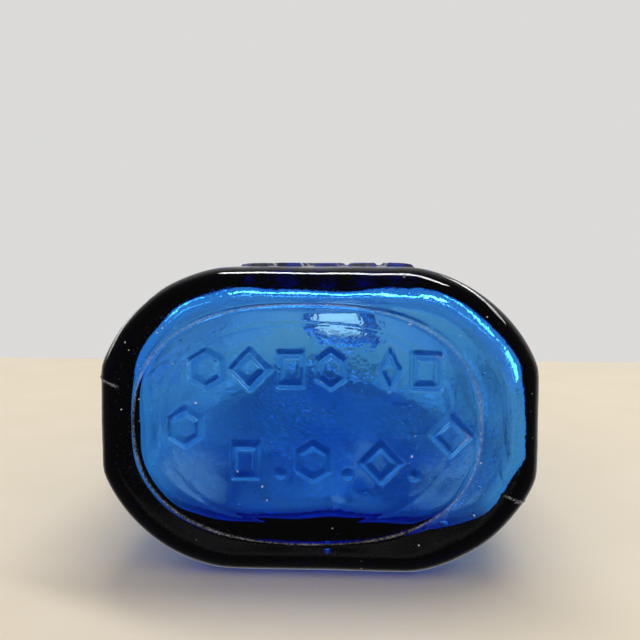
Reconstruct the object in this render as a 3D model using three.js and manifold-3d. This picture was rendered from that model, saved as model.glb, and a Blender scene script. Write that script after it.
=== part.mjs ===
// A flat oval medicine bottle of thick cobalt glass, lying on its back panel, with its tinplate screw cap.
// Units are millimetres. +Z is up and +Y runs along the bottle from its base to its cap. The origin is at the
// middle of the object's length and width, on the surface that the back panel rests on.
// The bottle is modelled along its own axis first: s is the distance from the base, u the width and v the depth.
import * as THREE from "three";
import Module from "manifold-3d";
import { mergeVertices } from "three/addons/utils/BufferGeometryUtils.js";

// Body: a flat front and back, two narrow flat sides, and a shallow arc across each corner.
const BODY_WIDTH = 80;
const BODY_DEPTH = 56;
const FRONT_FLAT = 35;
const SIDE_FLAT = 19.8;
const CORNER_ARC_HALF_ANGLE = THREE.MathUtils.degToRad(30);
const BOTTLE_HEIGHT = 178;

// Base: a rounded heel, a flat ring that the bottle stands on, and a shallow push-up inside it.
const HEEL_INSET = 5;
const HEEL_HEIGHT = 6;
const BEARING_RING_WIDTH = 2.6;
const PUSH_UP = 1.8;

// Shoulder and neck.
const SHOULDER_START = 112;
const SHOULDER_TURN = 139;
const SHOULDER_TURN_SHARE = 0.62;
const NECK_START = 152;
const NECK_RADIUS = 12.8;
const BEAD_START = 163.4;
const BEAD_END = 168;
const BEAD_RADIUS = 15;

// Inside: a thick base, walls that thin from the heel to the shoulder, and both broad panels thickest along
// their middle.
const WALL_AT_HEEL = 4.4;
const WALL = 3.3;
const BASE_THICKNESS = 6;
const PANEL_SAG = 0.07;
const PANEL_SAG_WIDTH = 15;
const BORE_RADIUS = 9.4;
const INNER_HEEL = 4;

// Threaded finish for a 28 mm continuous-thread cap, and the cap itself.
const FINISH_RADIUS = 12.55;
const THREAD_CREST_RADIUS = 13.7;
const THREAD_PITCH = 25.4 / 6;
const THREAD_TOP = BOTTLE_HEIGHT - 2.2;
const CAP_THREAD_DROP = 1.6;
const CAP_THREAD_CREST_RADIUS = 13;
const CAP_INNER_RADIUS = 14.05;
const TINPLATE = 0.5;
const CAP_OUTER_RADIUS = CAP_INNER_RADIUS + TINPLATE;
const CAP_SKIRT_END = 168.6;
const KNURL_HEIGHT = 0.25;
const KNURL_COUNT = 48;
const LINER_RADIUS = 13.6;
const FACING_THICKNESS = 0.3;
const BOARD_THICKNESS = 0.9;
const FIT_GAP = 0.05;

const FACING_START = BOTTLE_HEIGHT + FIT_GAP;
const BOARD_START = FACING_START + FACING_THICKNESS + FIT_GAP;
const CAP_TOP_INNER = BOARD_START + BOARD_THICKNESS + FIT_GAP;
const CAP_TOP = CAP_TOP_INNER + TINPLATE;

const ROUND_SEGMENTS = 64;
const TURN = 2 * Math.PI;

const wasm = await Module();
wasm.setup();

// ---------------------------------------------------------------- solids

function solidOf(geometry) {
  const bare = geometry.index ? geometry.toNonIndexed() : geometry.clone();
  bare.deleteAttribute("normal");
  bare.deleteAttribute("uv");
  const merged = mergeVertices(bare, 1e-4);
  return new wasm.Manifold(
    new wasm.Mesh({
      numProp: 3,
      vertProperties: new Float32Array(merged.attributes.position.array),
      triVerts: new Uint32Array(merged.index.array),
    }),
  );
}

function geometryOf(solid) {
  const mesh = solid.getMesh();
  const geometry = new THREE.BufferGeometry();
  geometry.setAttribute("position", new THREE.BufferAttribute(mesh.vertProperties, 3));
  geometry.setIndex(new THREE.BufferAttribute(mesh.triVerts, 1));
  geometry.computeVertexNormals();
  return geometry;
}

// A closed surface through rings of equally many points, each ring at a larger s than the one before it.
function loftGeometry(rings, startCentre, endCentre) {
  const count = rings[0].length;
  const points = [startCentre, ...rings.flat(), endCentre];
  const last = points.length - 1;
  const at = (ring, i) => 1 + ring * count + (i % count);
  const faces = [];
  for (let i = 0; i < count; i++) {
    faces.push(0, at(0, i), at(0, i + 1));
    faces.push(last, at(rings.length - 1, i + 1), at(rings.length - 1, i));
  }
  for (let ring = 0; ring < rings.length - 1; ring++) {
    for (let i = 0; i < count; i++) {
      faces.push(at(ring, i), at(ring + 1, i), at(ring, i + 1));
      faces.push(at(ring, i + 1), at(ring + 1, i), at(ring + 1, i + 1));
    }
  }
  const geometry = new THREE.BufferGeometry().setFromPoints(points);
  geometry.setIndex(faces);
  return geometry;
}

// A ridge of trapezoid section that climbs a right-hand helix. baseRadius is buried in the wall that carries it,
// and the ridge fades into that wall at both ends.
function helixRidge({ baseRadius, crestRadius, baseHalfWidth, crestHalfWidth, topS, turns, stepsPerTurn }) {
  const steps = Math.round(turns * stepsPerTurn);
  const fade = 0.07 * steps;
  const rings = [];
  for (let step = 0; step <= steps; step++) {
    const turned = (step + 0.5) / stepsPerTurn;
    const angle = turned * TURN;
    const s = topS - turned * THREAD_PITCH;
    const full = Math.min(1, step / fade, (steps - step) / fade);
    const crest = THREE.MathUtils.lerp(baseRadius + Math.sign(crestRadius - baseRadius) * 0.05, crestRadius, full);
    const corner = (radius, ds) =>
      new THREE.Vector3(radius * Math.cos(angle), s + ds, radius * Math.sin(angle));
    rings.push([
      corner(baseRadius, -baseHalfWidth),
      corner(crest, -crestHalfWidth),
      corner(crest, crestHalfWidth),
      corner(baseRadius, baseHalfWidth),
    ]);
  }
  if (crestRadius > baseRadius) rings.forEach((ring) => ring.reverse());
  const middle = (ring) => ring.reduce((sum, p) => sum.add(p), new THREE.Vector3()).divideScalar(ring.length);
  return loftGeometry(rings, middle(rings[0]), middle(rings[rings.length - 1]));
}

// ---------------------------------------------------------------- the bottle's section

// The arc that bulges outwards from start to end, as a list of points without its last one.
function cornerArc(start, end, segments) {
  const chord = end.clone().sub(start);
  const radius = chord.length() / (2 * Math.sin(CORNER_ARC_HALF_ANGLE));
  const inwards = new THREE.Vector2(-chord.y, chord.x).normalize();
  const centre = start
    .clone()
    .add(end)
    .multiplyScalar(0.5)
    .addScaledVector(inwards, radius * Math.cos(CORNER_ARC_HALF_ANGLE));
  const from = start.clone().sub(centre).angle();
  return Array.from({ length: segments }, (_, i) => {
    const angle = from + (2 * CORNER_ARC_HALF_ANGLE * i) / segments;
    return new THREE.Vector2(centre.x + radius * Math.cos(angle), centre.y + radius * Math.sin(angle));
  });
}

function straight(start, end, segments) {
  return Array.from({ length: segments }, (_, i) => start.clone().lerp(end, i / segments));
}

// The body's outline, set in from the outside by the given distance, anticlockwise from the +u side.
function outline(inset) {
  const u = BODY_WIDTH / 2 - inset;
  const v = BODY_DEPTH / 2 - inset;
  const flatU = (FRONT_FLAT / 2) * (u / (BODY_WIDTH / 2));
  const flatV = (SIDE_FLAT / 2) * (v / (BODY_DEPTH / 2));
  const corners = [
    [u, -flatV],
    [u, flatV],
    [flatU, v],
    [-flatU, v],
    [-u, flatV],
    [-u, -flatV],
    [-flatU, -v],
    [flatU, -v],
  ].map(([x, y]) => new THREE.Vector2(x, y));
  const [a, b, c, d, e, f, g, h] = corners;
  return [
    ...straight(a, b, 4),
    ...cornerArc(b, c, 8),
    ...straight(c, d, 6),
    ...cornerArc(d, e, 8),
    ...straight(e, f, 4),
    ...cornerArc(f, g, 8),
    ...straight(g, h, 6),
    ...cornerArc(h, a, 8),
  ];
}

function ringAt(points, s) {
  return points.map((p) => new THREE.Vector3(p.x, s, p.y));
}

// Points on a circle at the same bearings as the outline's points, so that a loft between them doesn't twist.
function circleLike(points, radius) {
  return points.map((p) => {
    const bearing = new THREE.Vector2(p.x / BODY_WIDTH, p.y / BODY_DEPTH).angle();
    return new THREE.Vector2(radius * Math.cos(bearing), radius * Math.sin(bearing));
  });
}

// From the body's outline to the neck's circle: round at first, then sweeping up into the neck.
function shoulderRings(points, neckRadius, lift) {
  const circle = circleLike(points, neckRadius);
  const start = new THREE.Vector2(0, SHOULDER_START - lift);
  const turn = new THREE.Vector2(SHOULDER_TURN_SHARE, SHOULDER_TURN - lift);
  const end = new THREE.Vector2(1, NECK_START);
  const round = new THREE.QuadraticBezierCurve(start, new THREE.Vector2(0.02, turn.y - 7), turn);
  const sweep = new THREE.QuadraticBezierCurve(turn, new THREE.Vector2(1.02, turn.y + 5), end);
  const profile = [...round.getPoints(7), ...sweep.getPoints(6).slice(1)];
  return profile.map((p) => ringAt(points.map((q, i) => q.clone().lerp(circle[i], p.x)), p.y));
}

// ---------------------------------------------------------------- glass

function baseRings() {
  const bearing = outline(HEEL_INSET + BEARING_RING_WIDTH);
  const scaled = (share) => bearing.map((p) => p.clone().multiplyScalar(share));
  const pushUp = [0.35, 0.68, 0.88, 0.96].map((share) =>
    ringAt(scaled(share), PUSH_UP * (1 - share ** 4)),
  );
  return [...pushUp, ringAt(bearing, 0)];
}

function heelRings(inset, height, startS, outside) {
  const steps = 6;
  return Array.from({ length: steps + 1 }, (_, i) => {
    const angle = (i / steps) * (Math.PI / 2);
    return ringAt(outside(inset * (1 - Math.sin(angle))), startS + height * (1 - Math.cos(angle)));
  });
}

function bottleOutside() {
  const body = outline(0);
  const rings = [
    ...baseRings(),
    ...heelRings(HEEL_INSET, HEEL_HEIGHT, 0, outline),
    ...shoulderRings(body, NECK_RADIUS, 0),
    ringAt(circleLike(body, NECK_RADIUS), BEAD_START + 2),
  ];
  const end = new THREE.Vector3(0, BEAD_START + 2, 0);
  return loftGeometry(rings, new THREE.Vector3(0, PUSH_UP, 0), end);
}

// The cavity's outline: the body's, less its wall, with both broad panels sagging inwards along their middle.
function cavityOutline(wall) {
  return outline(wall).map((p) => {
    const sag = 1 - PANEL_SAG * Math.exp(-((p.x / PANEL_SAG_WIDTH) ** 2));
    return new THREE.Vector2(p.x, p.y * sag);
  });
}

function bottleCavity() {
  const body = cavityOutline(WALL);
  const heel = (inset) => cavityOutline(WALL_AT_HEEL + inset);
  const floor = BASE_THICKNESS;
  const rings = [
    ringAt(heel(INNER_HEEL).map((p) => p.multiplyScalar(0.5)), floor),
    ...heelRings(INNER_HEEL, INNER_HEEL, floor, heel),
    ...shoulderRings(body, BORE_RADIUS, 2),
    ringAt(circleLike(body, BORE_RADIUS), BOTTLE_HEIGHT + 2),
  ];
  const end = new THREE.Vector3(0, BOTTLE_HEIGHT + 2, 0);
  return loftGeometry(rings, new THREE.Vector3(0, floor, 0), end);
}

// The bead under the thread and the plain barrel of the finish, turned about the bottle's axis.
function finishBarrel() {
  const rim = BOTTLE_HEIGHT;
  const profile = [
    [0, BEAD_START],
    [NECK_RADIUS + 0.9, BEAD_START],
    [BEAD_RADIUS - 0.3, BEAD_START + 1],
    [BEAD_RADIUS, BEAD_START + 2],
    [BEAD_RADIUS, BEAD_END - 1.6],
    [BEAD_RADIUS - 0.7, BEAD_END - 0.5],
    [FINISH_RADIUS, BEAD_END],
    [FINISH_RADIUS, rim - 0.9],
    [FINISH_RADIUS - 0.8, rim],
    [0, rim],
  ].map(([radius, s]) => new THREE.Vector2(radius, s));
  return new THREE.LatheGeometry(profile, ROUND_SEGMENTS);
}

function finishThread() {
  return helixRidge({
    baseRadius: FINISH_RADIUS - 0.3,
    crestRadius: THREAD_CREST_RADIUS,
    baseHalfWidth: 1.3,
    crestHalfWidth: 0.6,
    topS: THREAD_TOP,
    turns: 1.05,
    stepsPerTurn: ROUND_SEGMENTS,
  });
}

function bottle() {
  const glass = solidOf(bottleOutside()).add(solidOf(finishBarrel())).add(solidOf(finishThread()));
  return geometryOf(glass.subtract(solidOf(bottleCavity())));
}

// ---------------------------------------------------------------- closure

function disc(radius, startS, thickness, edge) {
  const profile = [
    [0, startS],
    [radius - edge, startS],
    [radius, startS + edge],
    [radius, startS + thickness - edge],
    [radius - edge, startS + thickness],
    [0, startS + thickness],
  ].map(([r, s]) => new THREE.Vector2(r, s));
  return new THREE.LatheGeometry(profile, ROUND_SEGMENTS);
}

// A loft turned about the bottle's axis, through [radius, s, ridge] stations: every second point of a ring
// stands out by that station's ridge.
function turned(stations) {
  const rings = stations.map(([radius, s, ridge]) =>
    Array.from({ length: 2 * KNURL_COUNT }, (_, i) => {
      const angle = (i / (2 * KNURL_COUNT)) * TURN;
      const reach = radius + (i % 2 ? ridge : 0);
      return new THREE.Vector3(reach * Math.cos(angle), s, reach * Math.sin(angle));
    }),
  );
  const [start, end] = [stations[0][1], stations[stations.length - 1][1]];
  return loftGeometry(rings, new THREE.Vector3(0, start, 0), new THREE.Vector3(0, end, 0));
}

// The drawn tinplate shell: a rolled edge at its foot, a fluted grip round the skirt, and a rounded top edge.
function capOutside() {
  const rollRadius = CAP_OUTER_RADIUS + 0.45;
  return turned([
    [rollRadius - 0.3, CAP_SKIRT_END, 0],
    [rollRadius, CAP_SKIRT_END + 0.3, 0],
    [rollRadius, CAP_SKIRT_END + 0.8, 0],
    [CAP_OUTER_RADIUS, CAP_SKIRT_END + 1.2, 0],
    [CAP_OUTER_RADIUS, CAP_SKIRT_END + 2, 0],
    [CAP_OUTER_RADIUS, CAP_SKIRT_END + 2.3, KNURL_HEIGHT],
    [CAP_OUTER_RADIUS, CAP_TOP - 2, KNURL_HEIGHT],
    [CAP_OUTER_RADIUS, CAP_TOP - 1.7, 0],
    [CAP_OUTER_RADIUS, CAP_TOP - 1.1, 0],
    [CAP_OUTER_RADIUS - 0.35, CAP_TOP - 0.35, 0],
    [CAP_OUTER_RADIUS - 1.1, CAP_TOP, 0],
  ]);
}

function capInside() {
  return turned([
    [CAP_INNER_RADIUS, CAP_SKIRT_END - 1, 0],
    [CAP_INNER_RADIUS, CAP_TOP_INNER - 0.2, 0],
    [CAP_INNER_RADIUS - 0.2, CAP_TOP_INNER, 0],
  ]);
}

function capThread() {
  return helixRidge({
    baseRadius: CAP_INNER_RADIUS + TINPLATE / 2,
    crestRadius: CAP_THREAD_CREST_RADIUS,
    baseHalfWidth: 0.8,
    crestHalfWidth: 0.35,
    topS: THREAD_TOP - CAP_THREAD_DROP,
    turns: 0.9,
    stepsPerTurn: 2 * KNURL_COUNT,
  });
}

function capShell() {
  return geometryOf(solidOf(capOutside()).subtract(solidOf(capInside())).add(solidOf(capThread())));
}

// ---------------------------------------------------------------- assembly

const materials = {
  cobalt_glass: new THREE.MeshStandardMaterial({ color: 0x14479a, roughness: 0.05, metalness: 0 }),
  cap_enamel: new THREE.MeshStandardMaterial({ color: 0xd9d4c4, roughness: 0.4, metalness: 0.1 }),
  pulp_board: new THREE.MeshStandardMaterial({ color: 0xa98f6b, roughness: 0.9, metalness: 0 }),
  waxed_paper: new THREE.MeshStandardMaterial({ color: 0xe8e2d2, roughness: 0.45, metalness: 0 }),
};

function piece(name, geometry, material) {
  const mesh = new THREE.Mesh(geometry, material);
  mesh.name = name;
  return mesh;
}

// Everything above stands on the axis of the bottle; this group lays it on its back panel, centred on its length.
const part = new THREE.Group();
part.position.set(0, -CAP_TOP / 2, BODY_DEPTH / 2);
part.add(
  piece("glass_bottle", bottle(), materials.cobalt_glass),
  piece("cap_shell", capShell(), materials.cap_enamel),
  piece("liner_board", disc(LINER_RADIUS, BOARD_START, BOARD_THICKNESS, 0.1), materials.pulp_board),
  piece("liner_facing", disc(LINER_RADIUS, FACING_START, FACING_THICKNESS, 0.05), materials.waxed_paper),
);

const model = new THREE.Group();
model.add(part);

export default model;
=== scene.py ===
"""The looks of a flat oval cobalt-glass medicine bottle and its screw cap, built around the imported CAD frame.

Shapes are worked out in millimetres in the bottle's own axes and turned into the frame's metres at the end:
u runs across the bottle (frame X), v through its depth (frame Z) and s along it from the base (frame Y).
A stop t, from 0 to 8, says where a point is round the body's section: even spans are the four straight
sides and odd spans the corner arcs between them, anticlockwise from the lower end of the +u side.
"""

import math

import bpy
import numpy as np
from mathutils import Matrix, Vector


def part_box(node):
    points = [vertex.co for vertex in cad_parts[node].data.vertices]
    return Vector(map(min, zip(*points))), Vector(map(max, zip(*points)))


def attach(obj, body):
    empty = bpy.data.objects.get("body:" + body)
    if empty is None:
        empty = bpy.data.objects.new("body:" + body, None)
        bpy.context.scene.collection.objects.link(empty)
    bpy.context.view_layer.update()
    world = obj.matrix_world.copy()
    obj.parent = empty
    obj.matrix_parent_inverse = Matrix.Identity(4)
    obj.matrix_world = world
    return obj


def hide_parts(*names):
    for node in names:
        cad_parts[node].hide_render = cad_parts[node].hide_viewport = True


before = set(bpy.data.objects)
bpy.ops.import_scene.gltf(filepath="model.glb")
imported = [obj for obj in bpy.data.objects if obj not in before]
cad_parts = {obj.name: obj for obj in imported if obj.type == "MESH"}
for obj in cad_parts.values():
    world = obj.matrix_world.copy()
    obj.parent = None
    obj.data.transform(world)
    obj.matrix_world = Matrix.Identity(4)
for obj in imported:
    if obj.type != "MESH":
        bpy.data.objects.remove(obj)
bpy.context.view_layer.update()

MM = 0.001
TURN = 2 * math.pi

# ------------------------------------------------------------------ sizes, in millimetres

glass_low, glass_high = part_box("glass_bottle")
cap_low, cap_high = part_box("cap_shell")
facing_low, facing_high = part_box("liner_facing")
board_low, board_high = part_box("liner_board")

BASE_Y = glass_low.y / MM
AXIS_Z = (glass_low.z + glass_high.z) / 2 / MM
HALF_WIDTH = (glass_high.x - glass_low.x) / 2 / MM
HALF_DEPTH = (glass_high.z - glass_low.z) / 2 / MM
HEIGHT = (glass_high.y - glass_low.y) / MM

FRONT_FLAT = 17.5
SIDE_FLAT = 9.9
CORNER_ARC = math.radians(30)
CORNER_SOFTNESS = 0.03

HEEL_INSET = 5.0
HEEL_HEIGHT = 6.0
PUSH_UP = 1.8
PLATE_CENTRE = np.array([-1.75, 0.0])
PLATE_HALF = (30.75, 21.4)
PLATE_POWER = 2.4

SHOULDER_START = 112.0
SHOULDER_TURN = 139.0
SHOULDER_TURN_SHARE = 0.62
NECK_START = 152.0
NECK_RADIUS = 12.8
BEAD_START = 163.4
BEAD_END = 168.0
BEAD_RADIUS = 15.0
FINISH_RADIUS = 12.55

THREAD_PITCH = 25.4 / 6
THREAD_TOP = HEIGHT - 2.2
THREAD_TURNS = 1.05
THREAD_RISE = 1.15
THREAD_CREST_HALF_WIDTH = 0.72

WALL = 3.3
WALL_AT_HEEL = 4.2
SIDE_WALL_EXTRA = 0.6
BORE_RADIUS = 9.4
FLOOR = 5.2
INNER_HEEL = 3.0
CAVITY_SOFTNESS = 0.07
CAVITY_SHIFT = 1.6

# The bank of glass inside the base, and the wedge that thins out from it up the back panel.
BANK_HEIGHT = 10.0
BANK_REACH = 22.0
BANK_STEEPNESS = 2.2
BANK_HALF_WIDTH = 24.0
SETTLED_DEPTH = 4.8
SETTLED_LENGTH = 34.0
SETTLED_STEEPNESS = 1.6
SETTLED_HALF_WIDTH = 29.0

# Where the wall is thin, where the panels sag inwards, and the swell in the middle of the inside floor.
THIN_CORNER = 1.5
THIN_CORNER_STOP = 3.6
THIN_CORNER_SPREAD = 0.42
PANEL_SAG = 0.5
PANEL_SAG_WIDTH = 13.0
PANEL_SAG_ABOVE = 0.35
FLOOR_SWELL = 3.7
FLOOR_SWELL_REACH = (20.0, 13.0)
FLOOR_SWELL_CENTRE = -3.0

# Slow unevenness of each surface, and the shift that keeps the inside's from following the outside's.
BASE_RIPPLE = 0.16
OUTSIDE_RIPPLE = 0.12
INSIDE_RIPPLE = 0.2
BORE_RIPPLE = 0.02
INSIDE_RIPPLE_SHIFT = 11
FLOOR_RIPPLE_PLACE = 40.0

# The back panel's ripple is worn flat where it rests, just clear of the floor.
REST_GAP = 0.03

# The two mould seams, as stops round the section, and the fine raised line each leaves.
MOULD_SEAMS = (4.1, 7.84)
SEAM_HEIGHT = 0.22
SEAM_HALF_WIDTH = 0.22

# The base plate's raised seam and the faint line inside it. A share of the plate times its reach is
# about a distance in millimetres.
PLATE_REACH = 26
PLATE_SEAM_HEIGHT = 0.42
PLATE_SEAM_HALF_WIDTH = 0.22
PLATE_SEAM_SOFTNESS = 0.16
INNER_LINE_SHARE = 0.84
INNER_LINE_HEIGHT = 0.12
INNER_LINE_HALF_WIDTH = 0.25


def to_frame(u, s, v):
    """Points of the bottle's own axes, in millimetres, as points of the frame, in metres."""
    return np.stack([u, s + BASE_Y, v + AXIS_Z], axis=-1) * MM


def level_ring(points, s):
    """A ring of (u, v) points, all at height s."""
    u, v = points.T
    return to_frame(u, np.full(len(u), s), v)


def turned_ring(bearing, radius, s):
    """A ring round the bottle's axis at height s. Its radius may change with the bearing."""
    return to_frame(radius * np.cos(bearing), np.full(len(bearing), s), radius * np.sin(bearing))


# ------------------------------------------------------------------ skins made of rings


class Skin:
    """Rings of points joined one to the next into a single surface."""

    def __init__(self):
        self.points = []
        self.faces = []
        self.count = 0
        self.ring = None
        self.stops = None

    def add_points(self, points):
        """Adds points, and returns their numbers."""
        first = self.count
        self.points.append(np.atleast_2d(points))
        self.count += len(self.points[-1])
        return list(range(first, self.count))

    def start(self, centre, ring, stops):
        """A fan from a centre point to the first ring."""
        middle = self.add_points(centre)[0]
        self.ring, self.stops = self.add_points(ring), stops
        following = self.ring[1:] + self.ring[:1]
        self.faces += [(middle, a, b) for a, b in zip(self.ring, following)]

    def grow(self, ring, stops):
        """The next ring. Equal rings join by quads, unequal ones by triangles zipped along their stops."""
        fresh = self.add_points(ring)
        if len(fresh) == len(self.ring):
            old_next = self.ring[1:] + self.ring[:1]
            new_next = fresh[1:] + fresh[:1]
            self.faces += list(zip(self.ring, fresh, new_next, old_next))
        else:
            self.zip_to(fresh, stops)
        self.ring, self.stops = fresh, stops

    def zip_to(self, fresh, stops):
        """Triangles between the last ring and a fresh one with another number of points."""
        old = list(zip(np.append(self.stops, self.stops[0] + 8), self.ring + self.ring[:1]))
        new = list(zip(np.append(stops, stops[0] + 8), fresh + fresh[:1]))
        i = j = 0
        while i < len(old) - 1 or j < len(new) - 1:
            step_old = j == len(new) - 1 or (i < len(old) - 1 and old[i + 1][0] <= new[j + 1][0])
            if step_old:
                self.faces.append((old[i][1], new[j][1], old[i + 1][1]))
                i += 1
            else:
                self.faces.append((old[i][1], new[j][1], new[j + 1][1]))
                j += 1

    def finish(self, centre):
        """A fan that closes the last ring."""
        middle = self.add_points(centre)[0]
        following = self.ring[1:] + self.ring[:1]
        self.faces += [(middle, b, a) for a, b in zip(self.ring, following)]

    def to_object(self, name):
        """The whole skin as one smooth-shaded object of the scene."""
        mesh = bpy.data.meshes.new(name)
        mesh.from_pydata(np.concatenate(self.points).tolist(), [], [tuple(face) for face in self.faces])
        mesh.polygons.foreach_set("use_smooth", [True] * len(mesh.polygons))
        mesh.update()
        piece = bpy.data.objects.new(name, mesh)
        bpy.context.scene.collection.objects.link(piece)
        return piece


# ------------------------------------------------------------------ the body's section


def sharp_outline(stops, inset):
    """Points (u, v) of the section, set in by inset, before its corners are softened."""
    half_u, half_v = HALF_WIDTH - inset, HALF_DEPTH - inset
    flat_u = FRONT_FLAT * half_u / HALF_WIDTH
    flat_v = SIDE_FLAT * half_v / HALF_DEPTH
    quarter = np.array([(half_u, flat_v), (flat_u, half_v)])
    corners = np.array(
        [
            quarter[0] * (1, -1), quarter[0], quarter[1], quarter[1] * (-1, 1),
            quarter[0] * (-1, 1), -quarter[0], -quarter[1], quarter[1] * (1, -1),
        ]
    )
    span = np.floor(stops).astype(int) % 8
    share = (stops - np.floor(stops))[:, None]
    start, end = corners[span], corners[(span + 1) % 8]
    chord = end - start
    length = np.linalg.norm(chord, axis=1, keepdims=True)
    along = chord / length
    inwards = np.stack([-along[:, 1], along[:, 0]], axis=1)
    radius = length / (2 * math.sin(CORNER_ARC))
    centre = (start + end) / 2 + inwards * radius * math.cos(CORNER_ARC)
    angle = (2 * share - 1) * CORNER_ARC
    arc = centre + radius * (along * np.sin(angle) - inwards * np.cos(angle))
    return np.where(span[:, None] % 2 == 1, arc, start + chord * share)


def outline(stops, inset, softness=CORNER_SOFTNESS):
    """The section with its corners softened by averaging along it."""
    offsets = np.arange(-3, 4)
    weights = np.exp(-(offsets**2) / 4.0)
    total = sum(w * sharp_outline(stops + k * softness, inset) for k, w in zip(offsets, weights))
    return total / weights.sum()


SEAM_CLEARING = 0.034
SEAM_STOPS = np.array([-0.028, -0.014, -0.007, 0, 0.007, 0.014, 0.028])


def section_stops(counts, seams=()):
    """Stops with so many points in each span, and a few more close together at each mould seam."""
    even = [span + np.arange(count) / count for span, count in enumerate(counts)]
    stops = np.concatenate(even)
    for seam in seams:
        stops = np.concatenate([stops[np.abs(stops - seam) > SEAM_CLEARING], seam + SEAM_STOPS])
    return np.sort(stops)


BASE_STOPS = section_stops((32, 50, 60, 50, 32, 50, 60, 50))
BODY_STOPS = section_stops((16, 28, 74, 28, 16, 22, 28, 22), MOULD_SEAMS)
NECK_STOPS = section_stops((12, 20, 32, 20, 12, 20, 32, 20), MOULD_SEAMS)
INNER_STOPS = section_stops((16, 26, 42, 26, 16, 26, 42, 26))


def outward(points):
    """Unit normals of a closed ring of (u, v) points, pointing out of it."""
    tangent = np.roll(points, -1, axis=0) - np.roll(points, 1, axis=0)
    normal = np.stack([tangent[:, 1], -tangent[:, 0]], axis=1)
    return normal / np.linalg.norm(normal, axis=1, keepdims=True)


def circle(stops, radius):
    """A circle whose points are at the bearings of the section's points."""
    points = sharp_outline(stops, 0) / (HALF_WIDTH, HALF_DEPTH)
    bearing = np.arctan2(points[:, 1], points[:, 0])
    return radius * np.stack([np.cos(bearing), np.sin(bearing)], axis=1)


def quadratic(start, middle, end, steps):
    """Points along a curve that is drawn towards its middle point."""
    k = np.linspace(0, 1, steps)[:, None]
    return (1 - k) ** 2 * np.array(start) + 2 * k * (1 - k) * np.array(middle) + k**2 * np.array(end)


def shoulder_profile(lift, steps):
    """Pairs (share of the neck's circle, s) up the shoulder: round at first, then sweeping into the neck."""
    turn = (SHOULDER_TURN_SHARE, SHOULDER_TURN - lift)
    round_part = quadratic((0, SHOULDER_START - lift), (0.02, turn[1] - 7), turn, steps)
    sweep = quadratic(turn, (1.02, turn[1] + 5), (1, NECK_START), steps)
    return np.concatenate([round_part, sweep[1:]])


# ------------------------------------------------------------------ relief and ripple


# Each row is one wave of the ripple: how fast it turns along u, v and s, and its phase.
RIPPLE_WAVES = (
    (0.31, 0.12, 0.17, 0.4),
    (-0.14, 0.36, 0.09, 1.9),
    (0.08, -0.21, 0.33, 3.1),
    (0.52, 0.27, -0.11, 4.4),
    (-0.41, 0.11, 0.42, 5.3),
    (0.19, 0.66, 0.23, 2.2),
)


def ripple(u, v, s, size):
    """The slow unevenness of machine-blown glass, in millimetres."""
    waves = sum(np.sin(a * u + b * v + c * s + d) for a, b, c, d in RIPPLE_WAVES)
    return size * waves / len(RIPPLE_WAVES)


def ridge(distance, half_width, softness=0.3):
    """1 on a ridge's crest and 0 away from it, with soft flanks. distance is from the ridge's centre line."""
    return 0.5 - 0.5 * np.tanh((np.abs(distance) - half_width) / softness)


def polygon_distance(x, y, sides, radius, turn):
    """Signed distance from a regular polygon's edge."""
    sector = TURN / sides
    angle = (np.arctan2(y, x) - turn) % sector - sector / 2
    return np.hypot(x, y) * np.cos(angle) - radius * math.cos(sector / 2)


# Plain shapes for the raised marks: the number of sides, and how far the polygon is turned.
SQUARE = (4, math.radians(45))
DIAMOND = (4, 0.0)
HEXAGON = (6, math.radians(30))

MARK_SOFTNESS = 0.2
MARK_LINE_HALF_WIDTH = 0.5


def hollow_mark(u, v, centre, shape, size, squeeze):
    """A raised outline of a plain shape, squeezed across. size is the distance between opposite corners."""
    sides, turn = shape
    x, y = (u - centre[0]) / squeeze, v - centre[1]
    return ridge(polygon_distance(x, y, sides, size / 2, turn), MARK_LINE_HALF_WIDTH, MARK_SOFTNESS)


def dot_mark(u, v, centre, radius):
    """A raised round dot."""
    return ridge(np.hypot(u - centre[0], v - centre[1]), radius, MARK_SOFTNESS)


# A square is drawn bigger through its corners, so that it stands about as tall as the other shapes.
BASE_MARK_HEIGHT = 0.9
BASE_MARK_SIZE = 6.2
BASE_SQUARE_SIZE = 1.25 * BASE_MARK_SIZE
UPPER_ROW = 9.8
LOWER_ROW = -6.9

# Each raised shape on the base plate: its centre, what it is and how far it is squeezed.
BASE_MARKS = (
    ((-19.5, UPPER_ROW), HEXAGON, 0.95), ((-11.7, UPPER_ROW), DIAMOND, 0.95),
    ((-4.4, UPPER_ROW), SQUARE, 0.72), ((2.8, UPPER_ROW), HEXAGON, 0.8),
    ((13.2, UPPER_ROW), DIAMOND, 0.5), ((19.6, UPPER_ROW), SQUARE, 0.78),
    ((-12.6, LOWER_ROW), SQUARE, 0.75), ((-0.4, LOWER_ROW), HEXAGON, 0.9),
    ((11.7, LOWER_ROW), DIAMOND, 0.95), ((-23.4, -0.8), HEXAGON, 0.9), ((23.9, -1.6), DIAMOND, 0.95),
)
BASE_DOTS = (-6.4, 5.7, 17.6)
BASE_DOT_DROP = 2.2
BASE_DOT_RADIUS = 0.75


def base_marks(u, v):
    """Two rows of plain raised shapes on the base plate, a shape at each side, and dots low between them."""
    relief = np.zeros_like(u)
    for centre, shape, squeeze in BASE_MARKS:
        size = BASE_SQUARE_SIZE if shape == SQUARE else BASE_MARK_SIZE
        relief = np.maximum(relief, hollow_mark(u, v, centre, shape, size, squeeze))
    for dot in BASE_DOTS:
        relief = np.maximum(relief, dot_mark(u, v, (dot, LOWER_ROW - BASE_DOT_DROP), BASE_DOT_RADIUS))
    return BASE_MARK_HEIGHT * relief


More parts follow.
